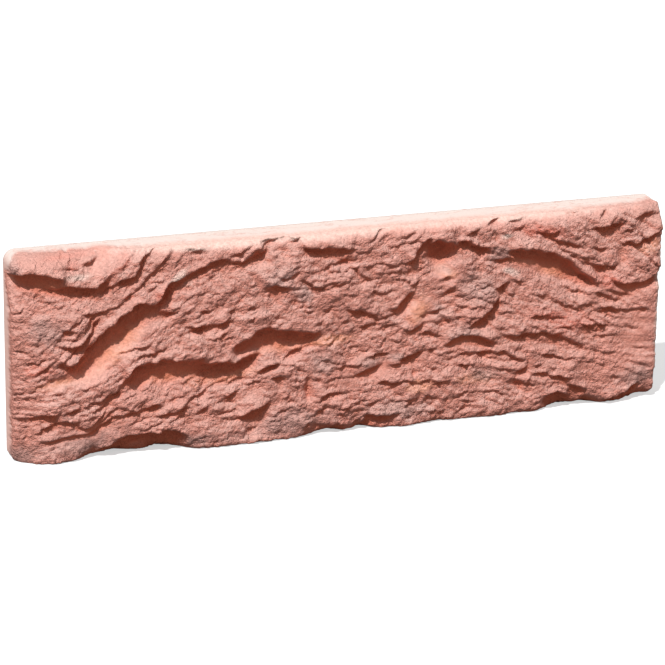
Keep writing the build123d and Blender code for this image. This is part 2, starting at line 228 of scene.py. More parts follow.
    (1.3, [(127, 30), (131, 30.3), (134, 30), (137, 28.8)]),
    (1.5, [(132.5, 35.9), (136, 35.4), (140, 34.4)]), (1.2, [(130, 38.1), (134, 37.9), (136.5, 36.6)]),
    (0.8, [(127, 36.5), (131.5, 37.1)]), (1.1, [(134, 42.7), (138, 42.8), (142, 42.4)]),
    (1.4, [(133.5, 46.3), (137, 47.6), (140, 46.4)]), (0.8, [(144.5, 41.6), (148, 43.5), (152, 45)]),
    (1.4, [(151.5, 43), (155, 43.6), (159, 44.2)]),
    (1.7, [(143, 30.4), (147, 33.5), (149.5, 36), (151.5, 38.5), (154.5, 40.6)]),
    (2.0, [(134.5, 26), (138, 27.6), (141, 28.4), (144, 28.6), (147, 28), (149, 26.8), (151, 25.5),
           (155, 24.4)]),
    (1.5, [(146, 23.2), (150, 22), (154, 21.6), (159, 20.8), (162, 19.6), (165.5, 18.6)]),
    (0.9, [(139.5, 20.9), (143, 22.3), (147, 22.7)]), (1.1, [(139.5, 18.4), (143, 19), (147, 17.8)]),
    (1.5, [(105.5, 18.2), (109, 20), (112, 21), (116, 21.4)]),
    (1.1, [(117, 20.6), (120, 20.9), (123.5, 21)]),
    (1.5, [(119.5, 22.6), (124, 22.6), (126, 24), (130, 24.8)]),
    (1.0, [(108.5, 25.4), (113, 25.2), (119, 25)]), (1.5, [(129, 25), (132, 25.9), (135, 25.5)]),
    (1.0, [(113.5, 14.9), (118, 15.3), (123, 15)]), (0.7, [(103.5, 29), (110, 29.2)]),
    (0.7, [(107, 27), (114, 27.4)]), (0.7, [(116, 29.6), (122, 28.8)]),
    (0.8, [(129, 10.1), (132, 9.2), (136, 7.8)]), (0.9, [(131, 12.9), (135, 14), (139.5, 14.3)]),
    (0.7, [(141, 9.4), (146, 9), (151, 9.4), (157, 8)]), (0.7, [(104, 11.6), (110, 12)]),
    (0.8, [(110, 9.4), (116, 9.8)]), (0.8, [(119, 11.6), (125, 12)]), (0.7, [(121, 7), (128, 7.6)]),
    (1.3, [(106, 3.2), (110, 4.2), (114, 4.9), (118, 4.8), (123, 5.8)]),
    (0.9, [(122.5, 2.6), (128.5, 3)]), (0.7, [(138, 3), (146, 3.6)]), (0.7, [(141, 6.4), (148, 6)]),
    (0.6, [(150, 5.6), (157, 5)]),
    # right third, laminae falling to the right
    (1.1, [(155, 63.4), (160, 64.9), (166, 66)]),
    (1.6, [(164.5, 60.2), (168, 59.6), (171, 59.3), (175, 60.2)]),
    (1.3, [(169, 58.4), (173, 57), (177, 56.4), (183, 54.2)]),
    (3.5, [(155.5, 55.6), (158, 55.2), (162, 55), (166, 54.9), (170, 53.6), (173, 52.1), (176, 50.8),
           (178, 49.5), (181, 47.1), (184, 44.5), (188.5, 41.2)]),
    (0.9, [(172, 54.9), (178, 52.5), (183, 50.8), (189, 49)]),
    (0.9, [(176.5, 52.2), (182, 49.8), (186, 48), (191, 45.8)]),
    (0.9, [(185, 48.9), (190, 47), (194, 45.8)]),
    (1.2, [(184.5, 54.3), (187, 52.6), (190, 52), (194, 52.4)]),
    (1.7, [(183.5, 60.2), (187, 59.8), (190, 60), (193, 60.2), (197, 61)]),
    (1.0, [(194.5, 56.8), (199, 57.8)]), (1.2, [(185.5, 63), (188, 65), (192, 65.8)]),
    (0.9, [(174.5, 64.2), (180, 65), (185, 65.6)]),
    (1.7, [(198.5, 61.6), (203, 62.6), (206, 63.6), (210, 63.4)]),
    (1.6, [(193.5, 54.8), (197, 54), (200, 53.8), (204, 55), (210, 57.4)]),
    (0.9, [(188, 45.4), (192, 45.9), (196, 46.8)]),
    (2.1, [(192, 42.2), (196, 41), (199, 40.5), (203, 40.7), (206, 42.3), (211, 44)]),
    (1.1, [(189, 32.4), (193, 32.8), (196, 31.8), (200, 31.5), (203, 30.7), (207, 31.2)]),
    (0.9, [(188.5, 30), (194, 30)]), (0.9, [(158, 45.2), (163, 44.6)]), (0.9, [(156, 41), (161, 40.4)]),
    (1.4, [(163.5, 32.3), (168, 32.3), (172, 31.8), (178, 31.2)]),
    (1.5, [(155, 28.2), (159, 27.6), (163, 27.8), (167, 27.8), (170, 27), (173, 26), (177, 25.2),
           (180, 23.5), (185, 21.4)]),
    (0.8, [(173, 28.2), (177, 27.7), (181, 25.8)]),
    (1.3, [(157.5, 14.4), (161, 14.8), (163.5, 16), (165.5, 19)]), (1.0, [(166, 15.8), (169.5, 16.6)]),
    (0.9, [(167.5, 20.3), (172, 19.5), (176, 18.6), (181, 16.8)]),
    (1.0, [(165.5, 12.9), (170, 13.5), (174, 12.6), (178, 11), (182, 10.4)]),
    (0.7, [(159, 10.8), (164, 9.6), (169, 8.4)]),
    (1.6, [(177.5, 8.9), (180.5, 8.6), (182.5, 7), (186, 5.6)]),
    (2.2, [(168.5, 6.4), (172, 6.4), (175, 7.3), (178, 6.2), (181, 4)]),
    (2.3, [(191, 2), (196, 3.4), (200, 4.6), (206, 5.8)]), (1.0, [(186, 38.6), (192, 36), (198, 34)]),
    (1.0, [(180, 37), (187, 34), (193, 31)]), (1.0, [(172, 37.4), (178, 35.6), (184, 32.6)]),
    (0.6, [(164, 39.6), (170, 38.6), (176, 36.6)]), (1.0, [(182, 29), (188, 27), (194, 26)]),
    (0.6, [(186, 24), (192, 23), (199, 22)]), (0.6, [(196, 26.4), (205, 25)]),
    (1.0, [(176, 42), (182, 39.6), (188, 36.8)]), (0.9, [(190, 39.4), (196, 37), (202, 35.4)]),
    (0.9, [(184, 35.9), (190, 33.4), (196, 31)]), (0.5, [(200, 19), (208, 18)]),
    (0.5, [(188, 14), (195, 13)]), (0.5, [(201, 12.6), (209, 12)]),
]

# broad forms: centre along, centre up, half length, half height, tilt in degrees, height
mounds = [
    (6, 62.6, 9, 2, -6, 0.6), (19, 58, 7, 2.2, -4, 0.7), (27, 63.5, 8, 3, 42, -1.4),
    (7, 52, 10, 3, -4, -0.4), (3, 38, 7, 13, 0, 0.7), (16, 45.5, 3.5, 2, 10, 0.7),
    (30, 36, 11, 3.5, 42, -0.9), (14, 26, 7, 2, 8, -0.3), (40, 60, 12, 5, 35, 0.4),
    (16, 21, 2.5, 1.2, 0, 0.6), (12, 18.6, 3.5, 1.6, 15, 0.7), (27, 26, 9, 3.4, 40, 0.7),
    (47, 46.3, 3.6, 1.2, 8, 0.9), (44, 40, 9, 3.4, 20, 0.6), (43.5, 26.8, 3, 1.2, 12, 0.9),
    (50, 24, 13, 2.6, 6, -0.8), (38, 19, 9, 2, 18, 0.4), (10, 11, 9, 4, 10, 0.3), (33, 11, 12, 3, 8, 0.4),
    (40, 5, 12, 3, 0, -0.5), (66, 51, 13, 5.5, 14, 1.3), (53.5, 53, 2.4, 1.3, 25, 0.8),
    (82, 54, 7, 4, 0, 0.8), (77, 52.6, 1.5, 1.3, 0, 0.8), (75.2, 51.5, 1.4, 1.8, 0, -0.8),
    (87, 53, 1.3, 1.4, 0, -0.7), (17, 62.3, 3, 1.3, 5, -1.0), (210, 65, 5, 4, -30, -4.0),
    (134.8, 55.0, 3.8, 3.4, 0, -2.8), (97, 63.4, 8, 1.8, -3, 0.8), (97, 57.2, 7, 1.6, 4, 0.5),
    (92, 53.6, 4.5, 2.4, -20, 0.6), (78, 42, 8, 2.2, 8, 0.7), (60, 34, 9, 2.6, 4, 0.5),
    (84, 37.6, 3.4, 2.2, 0, 0.7), (77, 29, 10, 2.6, 20, -0.2), (66, 17.9, 2.8, 1.6, 0, 0.9),
    (75, 13.4, 4, 1.8, 12, 0.7), (62, 12.8, 3.4, 1.4, 0, 0.5), (92, 15, 1.2, 4, 4, -1.9),
    (94, 26, 7, 4, 0, 0.6), (96, 22, 4, 2.6, 0, 0.5), (100, 3, 3.4, 1.4, 8, 0.9), (86, 6, 9, 3, 0, 0.5),
    (64, 5, 9, 3, 0, 0.5), (101, 44, 9, 4, -5, 0.6), (96, 37.4, 6, 2.2, 0, 0.5),
    (113.5, 62.3, 3, 1.4, 35, 0.5), (128, 55, 3.4, 3.6, 50, 0.5), (127, 37, 3.4, 5.5, -32, 0.7),
    (136, 49.5, 4.5, 2.4, -25, -0.5), (155, 56, 4.5, 3, 0, 0.9), (149, 40.5, 4, 2, 30, 0.7),
    (150.5, 27.4, 5.5, 1.4, -14, 0.8), (131.5, 27.2, 2.2, 1.5, 0, 0.9), (114, 23, 7, 1.5, 6, 0.6),
    (133, 16, 12, 5, 0, 0.5), (147, 14, 8, 4, -5, -0.3), (109, 3, 3, 1.3, 10, 0.7),
    (126.5, 17, 0.8, 1.4, 0, -0.9), (140, 39, 6, 2.2, 0, -0.3), (117, 43, 5, 1.8, 0, 0.5),
    (107, 47, 6, 3, 0, 0.5), (171, 62, 7, 2.4, -14, 1.0), (176, 58.6, 5, 2, -18, 0.5),
    (191, 49.6, 4.5, 2.4, -8, 0.8), (196.4, 49, 1.7, 3.2, 10, -1.3), (202, 46, 5, 4, 25, 0.4),
    (198, 59, 2.6, 2, 20, 0.7), (192, 62.6, 5, 1.8, 10, 0.6), (206, 50, 4, 5, 0, 0.4),
    (160, 16.6, 5, 1.8, -10, 0.8), (164.8, 17, 0.8, 3, 0, -0.7), (174, 16, 8, 2.4, -14, 0.4),
    (165, 29.8, 7, 1.4, -4, 0.4), (172, 43.8, 9, 2.4, -14, -0.4), (206, 37, 4, 4, 0, 0.5),
    (196, 11, 13, 7, 0, 0.5), (188, 4, 9, 2.4, -4, 0.5), (162, 4, 8, 2.6, 0, 0.5),
    (151, 62, 6, 2.2, 8, 0.5), (140, 63.6, 7, 1.4, 0, 0.5),
]

# bottom arris, broken back: centre along, half width, how far
bottomBreaks = [
    (1, 4, 2.6), (24, 5, 5.0), (33, 7, 6.0), (46, 7, 7.0), (98, 6, 4.5), (110, 5, 3.4), (134, 5, 2.0),
    (177, 5, 5.0), (186, 5, 4.0), (207, 5, 7.0),
]

# places where the stone parted smoothly: centre along, centre up, half length, half height, tilt
smoothPlaces = [
    (31, 35, 13, 4, 42), (15, 26, 8, 2.5, 10), (48, 25.5, 14, 3, 5), (78, 31, 12, 2.5, 0),
    (136.5, 48.5, 5, 3, -20), (128, 38, 5, 6, -30), (170, 48, 12, 3, -15), (26, 62.5, 6, 3, 40),
    (113, 19, 10, 2.5, 5), (142, 25.5, 7, 2, 0), (8, 57, 8, 2, -10), (198, 38, 8, 2, 0),
    (203, 20, 10, 14, 0), (22, 8, 12, 4, 5), (75, 65, 40, 2, 0), (150, 65, 50, 2, 0),
]

# patches of colour: centre along, centre up, half length, half height, tilt
orangePatches = [
    (33, 36, 13, 3.4, 42), (14, 25.6, 8, 1.8, 8), (52, 25, 16, 2.4, 5), (86, 30.5, 12, 2.2, 4),
    (66, 22.5, 12, 2.4, 6), (136.5, 49.5, 4, 2.4, -20), (128, 38, 4, 5, -30), (128, 13, 6, 2.5, 0),
    (148, 13.5, 8, 2.4, -8), (174, 45.5, 7, 2, -16), (163, 51, 8, 2, -6), (100, 31, 6, 1.6, 0),
    (8, 57, 8, 1.6, -8), (205, 52, 5, 3, 20),
]
greyPatches = [
    (82, 53, 6, 4.5, 10), (91, 47, 5, 3, 0), (134, 37, 2.6, 3.2, 0), (154, 53.5, 4.5, 3.4, 0),
    (147, 43, 7, 6, -30), (144, 29, 7, 4, 10), (121, 23.7, 3, 1.6, 0), (136, 50, 3, 1.6, 0),
    (112, 23, 6, 2, 6), (96, 24, 5, 5, 0), (86, 6, 14, 5, 4), (20, 6, 16, 5, 6), (52, 3, 14, 3, 0),
    (122, 6, 14, 4, 0), (150, 14, 7, 3, -8), (1, 62, 2.2, 2.5, 0), (2, 2, 4, 3, 0), (203, 8, 8, 5, 0),
    (10, 42, 7, 6, 0),
]
# pale cream patches, partly a paler skin, partly a painted highlight along the top edge and on lit lips
creamAndHighlightPatches = [
    (52, 53.2, 3.4, 1.4, 20), (156, 59.3, 2.6, 1, 0), (52, 65, 26, 1.5, 0), (90, 65, 34, 2, 0),
    (160, 65, 40, 1.6, 0), (50, 56, 5, 1.2, 40), (158, 47.5, 4, 1.2, -20), (20, 58.6, 5, 1.2, 0),
    (210, 32, 1.6, 30, 0),
]
redPatches = [
    (99.5, 2.6, 3, 1.4, 8), (104, 65, 7, 0.7, 0), (21, 64.6, 12, 0.8, 2), (18, 62, 3, 1.4, 0),
    (33, 62, 6, 2, 42), (7, 30, 5, 2, 0), (46, 52, 4, 1.6, 30), (191, 42, 8, 3, -20),
    (176, 30, 14, 4, -14), (168, 60, 10, 3, -10),
]


def smoothStep(t):
    t = np.clip(t, 0.0, 1.0)
    return t * t * (3.0 - 2.0 * t)


def softNoise(x, z, size, seed):
    # soft random pattern from -1 to 1, with forms about this many mm across
    values = np.random.default_rng(seed).uniform(-1.0, 1.0, (int(260 / size) + 6, int(110 / size) + 6))
    u, v = (x + 20.0) / size, (z + 20.0) / size
    i, j = np.floor(u).astype(int), np.floor(v).astype(int)
    a, b = smoothStep(u - i), smoothStep(v - j)
    low = values[i, j] * (1 - a) + values[i + 1, j] * a
    high = values[i, j + 1] * (1 - a) + values[i + 1, j + 1] * a
    return low * (1 - b) + high * b


def roundedLip(points, times=2):
    # rounds a lip drawn with a few points
    for _ in range(times):
        cut = [points[0]]
        for (x0, z0), (x1, z1) in zip(points, points[1:]):
            cut += [(x0 + t * (x1 - x0), z0 + t * (z1 - z0)) for t in (0.25, 0.75)]
        points = cut + [points[-1]]
    return points


def ledgeHeight(x, z, ledge):
    step, lip = ledge
    step, lip = step * stoneForm["ledgeScale"], roundedLip(lip)
    rise, drop = stoneForm["lipShare"] * step, (1 - stoneForm["lipShare"]) * step
    slopeUp, hollowLength = (stoneForm[k][0] + stoneForm[k][1] * step for k in ("riseLength", "hollowLength"))
    halfWidth = stoneForm["lipSlope"] * step
    nearest = np.full(x.shape, 1e9)
    side = np.ones(x.shape)
    for (x0, z0), (x1, z1) in zip(lip, lip[1:]):
        length = math.hypot(x1 - x0, z1 - z0)
        ux, uz = (x1 - x0) / length, (z1 - z0) / length
        t = np.clip((x - x0) * ux + (z - z0) * uz, 0.0, length)
        off = np.hypot(x - x0 - t * ux, z - z0 - t * uz)
        closer = off < nearest
        nearest = np.where(closer, off, nearest)
        side = np.where(closer, np.where((z - z0) * ux - (x - x0) * uz >= 0, 1.0, -1.0), side)
    gap = nearest * side
    (startX, startZ), (endX, endZ) = lip[0], lip[-1]
    chord = math.hypot(endX - startX, endZ - startZ)
    reached = ((x - startX) * (endX - startX) + (z - startZ) * (endZ - startZ)) / chord
    fade = min(stoneForm["endFade"], chord / 2) + 0.8 * nearest
    ends = smoothStep(np.minimum(reached, chord - reached) / fade)
    above = rise * np.exp(-np.maximum(gap, 0.0) / slopeUp)
    below = -drop * np.exp(-((np.minimum(gap, 0.0) / hollowLength) ** 2))
    mix = smoothStep((gap + 2 * halfWidth) / (2 * halfWidth))
    return (below + (above - below) * mix) * ends


def blob(x, z, along, up, halfLength, halfHeight, tilt):
    c, s = math.cos(math.radians(tilt)), math.sin(math.radians(tilt))
    a = ((x - along) * c + (z - up) * s) / halfLength
    b = ((z - up) * c - (x - along) * s) / halfHeight
    return np.exp(-(a * a + b * b))


def faceRelief(x, z):
    # how far the riven face stands off its middle level
    wornX, wornZ = x.copy(), z.copy()
    for number, (size, reach) in enumerate(stoneForm["lipWander"]):
        wornX += reach * softNoise(x, z, size, 10 + number)
        wornZ += reach * softNoise(x, z, size, 20 + number)
    relief = np.zeros(x.shape)
    for ledge in ledges:
        xs, zs = [p[0] for p in ledge[1]], [p[1] for p in ledge[1]]
        near = 8.0 + 5.0 * ledge[0]
        close = (x > min(xs) - near) & (x < max(xs) + near) & (z > min(zs) - near) & (z < max(zs) + near)
        relief[close] += ledgeHeight(wornX[close], wornZ[close], ledge)
    size, share = stoneForm["stepVaries"]
    relief *= 1 + share * softNoise(x, z, size, 30)
    for number, (size, height) in enumerate(stoneForm["swells"]):
        relief += height * softNoise(wornX, wornZ, size, 40 + number)
    for mound in mounds:
        relief += mound[5] * blob(x, z, *mound[:5])
    limit = stoneForm["reliefLimit"]
    relief = limit * np.tanh(relief / limit)
    moreDepth, moreReach, fade = stoneForm["topLeftRoll"]
    left = smoothStep(1 - x / fade)
    gaps = (x, stoneForm["length"] - x, z, stoneForm["height"] - z)
    rolled = np.zeros(x.shape)
    for gap, depth, reach, more in zip(gaps, stoneForm["rollDepth"], stoneForm["rollReach"], (0, 0, 0, left)):
        depth, reach = depth + more * moreDepth, reach + more * moreReach
        rolled = np.hypot(rolled, depth * (1 - np.sqrt(1 - (1 - np.clip(gap / reach, 0.0, 1.0)) ** 2)))
    fallen, length = stoneForm["leftSlope"]
    relief -= np.hypot(rolled, fallen * np.clip(1 - x / length, 0.0, 1.0) ** 1.5)
    broken = sum(back * np.exp(-(((x - along) / half) ** 2)) for along, half, back in bottomBreaks)
    return relief - broken * np.exp(-np.maximum(z, 0.0) / stoneForm["breakReach"])


def laminaDirection(x, z):
    # slope of the laminae: they climb from the left, lie flat in the middle and fall to the right
    risen = smoothStep((z - 6) / 26)
    climb = (0.28 + 0.72 * risen) * smoothStep((x + 12) / 26) * (1 - smoothStep((x - 34) / 46))
    fall = -(0.22 + 0.42 * risen) * smoothStep((x - 128) / 44)
    return climb + fall


def laminaCoordinates(x, z):
    # distance across the laminae, by adding up their slope along each row from the middle of the stone
    steps = np.linspace(0.0, 1.0, 41)
    middle = 100.0
    across = z.copy()
    for a, b in zip(steps, steps[1:]):
        across -= laminaDirection(middle + (x - middle) * (a + b) / 2, z) * (x - middle) * (b - a)
    return across


def stoneMesh():
    # closed mesh: riven front grid, square sides in rings, a small bevel and the flat back
    form = stoneForm
    length, height, radius, step = form["length"], form["height"], form["cornerRadius"], form["faceStep"]
    arc = radius * (1 - np.cos(np.linspace(0.0, math.pi / 2, 10)[:-1]))
    rowCount = round((height - 2 * radius) / step)
    zRows = np.concatenate([arc, np.linspace(radius, height - radius, rowCount + 1), (height - arc)[::-1]])
    rows, columns = len(zRows), round(length / step) + 1
    fromEnd = np.minimum(zRows, height - zRows)
    leftRadius = np.where(zRows < height / 2, form["lowerLeftRadius"], radius)
    rightRadius = np.where(zRows > height / 2, form["topRightRadius"], radius)
    left, right = (r - np.sqrt(r ** 2 - np.maximum(0.0, r - fromEnd) ** 2) for r in (leftRadius, rightRadius))
    x = left[:, None] + (length - left - right)[:, None] * np.linspace(0.0, 1.0, columns)[None, :]
    z = np.repeat(zRows[:, None], columns, 1)
    depth = np.maximum(form["faceDepth"] + faceRelief(x, z), form["leastDepth"])
    across = laminaCoordinates(x, z)

    number = np.arange(rows * columns).reshape(rows, columns)
    quads = np.stack([number[:-1, :-1], number[:-1, 1:], number[1:, 1:], number[1:, :-1]], -1).reshape(-1, 4)
    faces = quads.tolist()
    loop = np.concatenate([number[0, :-1], number[:-1, -1], number[-1, :0:-1], number[:0:-1, 0]])
    loopX, loopZ, loopDepth = x.ravel()[loop], z.ravel()[loop], depth.ravel()[loop]
    towards = np.stack([length / 2 - loopX, height / 2 - loopZ])
    atLeft, atBottom = loopX < length / 2, loopZ < height / 2
    bend = np.where(~atLeft & ~atBottom, form["topRightRadius"], radius)
    bend = np.where(atLeft & atBottom, form["lowerLeftRadius"], bend)
    middle = np.array([[length / 2], [height / 2]])
    inward = np.sign(towards) * np.maximum(0.0, bend - middle + np.abs(towards))
    inward = inward / np.maximum(np.hypot(*inward), 1e-6)
    rivenBack = np.where(loopX < 1, *form["rivenBack"])

    points = [np.stack([x.ravel(), z.ravel(), depth.ravel()], -1)]
    riven = [np.ones(rows * columns)]
    crossing = [across.ravel()]
    facing = [np.tile([0.0, -1.0, 0.0], (rows * columns, 1))]
    last = loop
    rings = [(share, 0.0) for share in form["sideRings"]]
    rings += [(1.0, form["backBevel"]), (1.0, 3 * form["backBevel"])]
    for share, bevel in rings:
        behind = share * (loopDepth - max(form["backBevel"] - bevel, 0.0))
        ringX, ringZ = loopX + inward[0] * bevel, loopZ + inward[1] * bevel
        points.append(np.stack([ringX, ringZ, loopDepth - behind], -1))
        riven.append(np.exp(-((behind / rivenBack) ** 2)) * (share < 1))
        turned = np.minimum(1.0, behind / form["turnBack"])
        facing.append(np.stack([inward[0] * turned, turned - 1.0, inward[1] * turned], -1))
        crossing.append(across.ravel()[loop])
        ring = np.arange(len(loop)) + sum(len(p) for p in points[:-1])
        faces += np.stack([last, ring, np.roll(ring, -1), np.roll(last, -1)], -1).tolist()
        last = ring
    faces.append(last[::-1].tolist())

    points, riven, crossing = np.concatenate(points), np.concatenate(riven), np.concatenate(crossing)
    corners = np.stack([points[:, 0] - length / 2, backPlane / mm - points[:, 2], points[:, 1]], -1) * mm
    mesh = bpy.data.meshes.new("stone")
    mesh.from_pydata(corners.tolist(), [], faces)
    along, up = points[:, 0], points[:, 1]
    values = {
        "riven": riven,                      # 1 on the broken face, 0 on the cast sides and back
        "across": crossing,                  # millimetres across the laminae
        "inside": smoothStep(np.minimum(along, length - along) / form["endZone"]),   # 0 at the two ends
        "upper": up / height,
    }
    places = {"calm": smoothPlaces, "orange": orangePatches, "grey": greyPatches, "creamAndHighlight": creamAndHighlightPatches,
              "red": redPatches}
    for name, patches in places.items():
        values[name] = np.clip(sum(blob(along, up, *patch) for patch in patches), 0, 1)
    for name, value in values.items():
        mesh.attributes.new(name, "FLOAT", "POINT").data.foreach_set("value", value.astype(np.float32))
    facing = np.concatenate(facing).astype(np.float32).ravel()
    mesh.attributes.new("facing", "FLOAT_VECTOR", "POINT").data.foreach_set("vector", facing)
    mesh.polygons.foreach_set("use_smooth", [True] * len(mesh.polygons))
    mesh.update()
    return mesh


backPlane = cadBox[1].y
stonePiece = bpy.data.objects.new("stone", stoneMesh())
bpy.context.scene.collection.objects.link(stonePiece)
print("stone mesh:", len(stonePiece.data.vertices), "points", len(stonePiece.data.polygons), "faces")


# fine relief, as Geometry Nodes: split sheets, flakes, lumps and crumbs, then how hollow each point is
fineRelief = {
    "Sheet height": 0.95 * mm,
    "Sheet width": 5.0,        # mm across the laminae
    "Sheet length": 9.0,       # mm along them
    "Flake height": 0.6 * mm,
    "Flake width": 2.1,
    "Flake length": 3.4,
    "Lump height": 1.25 * mm,
    "Lump size": 1.7,
    "Crumb height": 0.95 * mm,
    "Crumb size": 1.3,
    "Seed": 7.0,
}

# directions of the rays that find where to paint shade, the first along the key light: where the stone itself
# hides them, its colour gets painted shade
shadeRayDirections = [(-0.37, -0.46, 0.81), (-0.62, -0.48, 0.62), (-0.08, -0.42, 0.9), (-0.3, -0.25, 0.92),
                 (-0.35, -0.72, 0.6), (0.2, -0.55, 0.8), (-0.6, -0.25, 0.76)]


def brokenSheets(tree, along, across, length, width, seed, wander):
    # sheets that lap like shingles: each swells out to its lower lip, then drops sharply; 0 to 1
    u = addNode(tree, "ShaderNodeMath", divide, {0: along, 1: length}).outputs[0]
    v = addNode(tree, "ShaderNodeMath", divide, {0: across, 1: width}).outputs[0]
    spot = addNode(tree, "ShaderNodeCombineXYZ", None, {0: u, 1: v, 2: seed}).outputs[0]
    bend = addNode(tree, "ShaderNodeTexNoise", None,
                   {"Vector": spot, "Scale": 0.8, "Detail": 2.5, "Roughness": 0.6}).outputs[0]
    count = addNode(tree, "ShaderNodeMath", multiplyAdd, {0: bend, 1: wander, 2: v}).outputs[0]
    part = addNode(tree, "ShaderNodeMath", {"operation": "FRACT"}, {0: count}).outputs[0]
    swell = addNode(tree, "ShaderNodeMath", subtract, {0: 1.0, 1: part}).outputs[0]
    under = addNode(tree, "ShaderNodeMath", divide, {0: part, 1: 0.16}).outputs[0]
    sheet = addNode(tree, "ShaderNodeMath", {"operation": "MINIMUM"}, {0: swell, 1: under}).outputs[0]
    patch = addNode(tree, "ShaderNodeTexNoise", None,
                    {"Vector": spot, "Scale": 0.55, "Detail": 1.0}).outputs[1]
    patch = addNode(tree, "ShaderNodeSeparateXYZ", None, {0: patch}).outputs[1]
    lifted = addNode(tree, "ShaderNodeMapRange", softEnds,
                     {"Value": patch, "From Min": 0.38, "From Max": 0.66}).outputs[0]
    return addNode(tree, "ShaderNodeMath", multiply, {0: sheet, 1: lifted}).outputs[0]


def fineReliefTree(material):
    tree = bpy.data.node_groups.new("splitAndCrumble", "GeometryNodeTree")
    tree.interface.new_socket("Geometry", in_out="INPUT", socket_type="NodeSocketGeometry")
    for name, value in fineRelief.items():
        tree.interface.new_socket(name, in_out="INPUT", socket_type="NodeSocketFloat").default_value = value
    tree.interface.new_socket("Geometry", in_out="OUTPUT", socket_type="NodeSocketGeometry")
    given = addNode(tree, "NodeGroupInput").outputs
    read = {
        name: addNode(tree, "GeometryNodeInputNamedAttribute", {"data_type": kind}, {"Name": name}).outputs[0]
        for name, kind in (("riven", "FLOAT"), ("across", "FLOAT"), ("calm", "FLOAT"),
                           ("facing", "FLOAT_VECTOR"))
    }
    position = addNode(tree, "GeometryNodeInputPosition").outputs[0]
    place = addNode(tree, "ShaderNodeSeparateXYZ", None, {0: position})
    along = addNode(tree, "ShaderNodeMath", multiply, {0: place.outputs[0], 1: 1000.0}).outputs[0]
    up = addNode(tree, "ShaderNodeMath", multiply, {0: place.outputs[2], 1: 1000.0}).outputs[0]

    # split sheets, then smaller flakes on them
    broken = 0.0
    for name, wander in (("Sheet", 2.6), ("Flake", 3.4)):
        sheet = brokenSheets(tree, along, read["across"], given[name + " length"], given[name + " width"],
                             given["Seed"], wander)
        broken = addNode(tree, "ShaderNodeMath", multiplyAdd,
                         {0: sheet, 1: given[name + " height"], 2: broken}).outputs[0]

    # sandy lumps, and crumbs with crevices between them, in patches
    spots = {}
    for name in ("Lump", "Crumb"):
        u = addNode(tree, "ShaderNodeMath", divide, {0: along, 1: given[name + " size"]}).outputs[0]
        v = addNode(tree, "ShaderNodeMath", divide, {0: up, 1: given[name + " size"]}).outputs[0]
        spots[name] = addNode(tree, "ShaderNodeCombineXYZ", None, {0: u, 1: v, 2: given["Seed"]}).outputs[0]
    lump = addNode(tree, "ShaderNodeTexNoise", None,
                   {"Vector": spots["Lump"], "Scale": 0.8, "Detail": 2.0, "Roughness": 0.6}).outputs[0]
    lump = addNode(tree, "ShaderNodeMath", subtract, {0: lump, 1: 0.5}).outputs[0]
    stirred = addNode(tree, "ShaderNodeTexNoise", None,
                      {"Vector": spots["Crumb"], "Scale": 0.7, "Detail": 1.0}).outputs[1]
    spot = addNode(tree, "ShaderNodeVectorMath", multiplyAdd,
                   {0: stirred, 1: (1.2, 1.2, 0), 2: spots["Crumb"]}).outputs[0]
    cell = addNode(tree, "ShaderNodeTexVoronoi", {"feature": "SMOOTH_F1"},
                   {"Vector": spot, "Scale": 1.0, "Smoothness": 0.25}).outputs["Distance"]
    patch = addNode(tree, "ShaderNodeTexNoise", None,
                    {"Vector": spot, "Scale": 0.16, "Detail": 1.0}).outputs[0]
    patch = addNode(tree, "ShaderNodeMapRange", softEnds,
                    {"Value": patch, "From Min": 0.4, "From Max": 0.62, "To Min": 0.25}).outputs[0]
    crumb = addNode(tree, "ShaderNodeMath", subtract, {0: 0.5, 1: cell}).outputs[0]
    crumb = addNode(tree, "ShaderNodeMath", multiply, {0: crumb, 1: patch}).outputs[0]
    for name, form in (("Lump", lump), ("Crumb", crumb)):
        broken = addNode(tree, "ShaderNodeMath", multiplyAdd,
                         {0: form, 1: given[name + " height"], 2: broken}).outputs[0]

    # less of it where the stone parted smoothly, and none behind the riven face
    quiet = addNode(tree, "ShaderNodeMath", multiplyAdd, {0: read["calm"], 1: -0.8, 2: 1.0}).outputs[0]
    broken = addNode(tree, "ShaderNodeMath", multiply, {0: broken, 1: quiet}).outputs[0]
    broken = addNode(tree, "ShaderNodeMath", multiply, {0: broken, 1: read["riven"]}).outputs[0]
    push = addNode(tree, "ShaderNodeVectorMath", {"operation": "SCALE"},
                   {0: read["facing"], "Scale": broken}).outputs[0]
    moved = addNode(tree, "GeometryNodeSetPosition", None,
                    {"Geometry": given["Geometry"], "Offset": push}).outputs[0]

    # hollow and deep: how far a point lies behind the average level around it, in two widths
    here = place.outputs[1]
    for name, spread in (("hollow", 10), ("deep", 90)):
        around = addNode(tree, "GeometryNodeBlurAttribute", {"data_type": "FLOAT"},
                         {"Value": here, "Iterations": spread}).outputs[0]
        behind = addNode(tree, "ShaderNodeMath", subtract, {0: here, 1: around}).outputs[0]
        inMm = addNode(tree, "ShaderNodeMath", multiply, {0: behind, 1: 1000.0}).outputs[0]
        moved = addNode(tree, "GeometryNodeStoreNamedAttribute", onPoints,
                        {"Geometry": moved, "Name": name, "Value": inMm}).outputs[0]
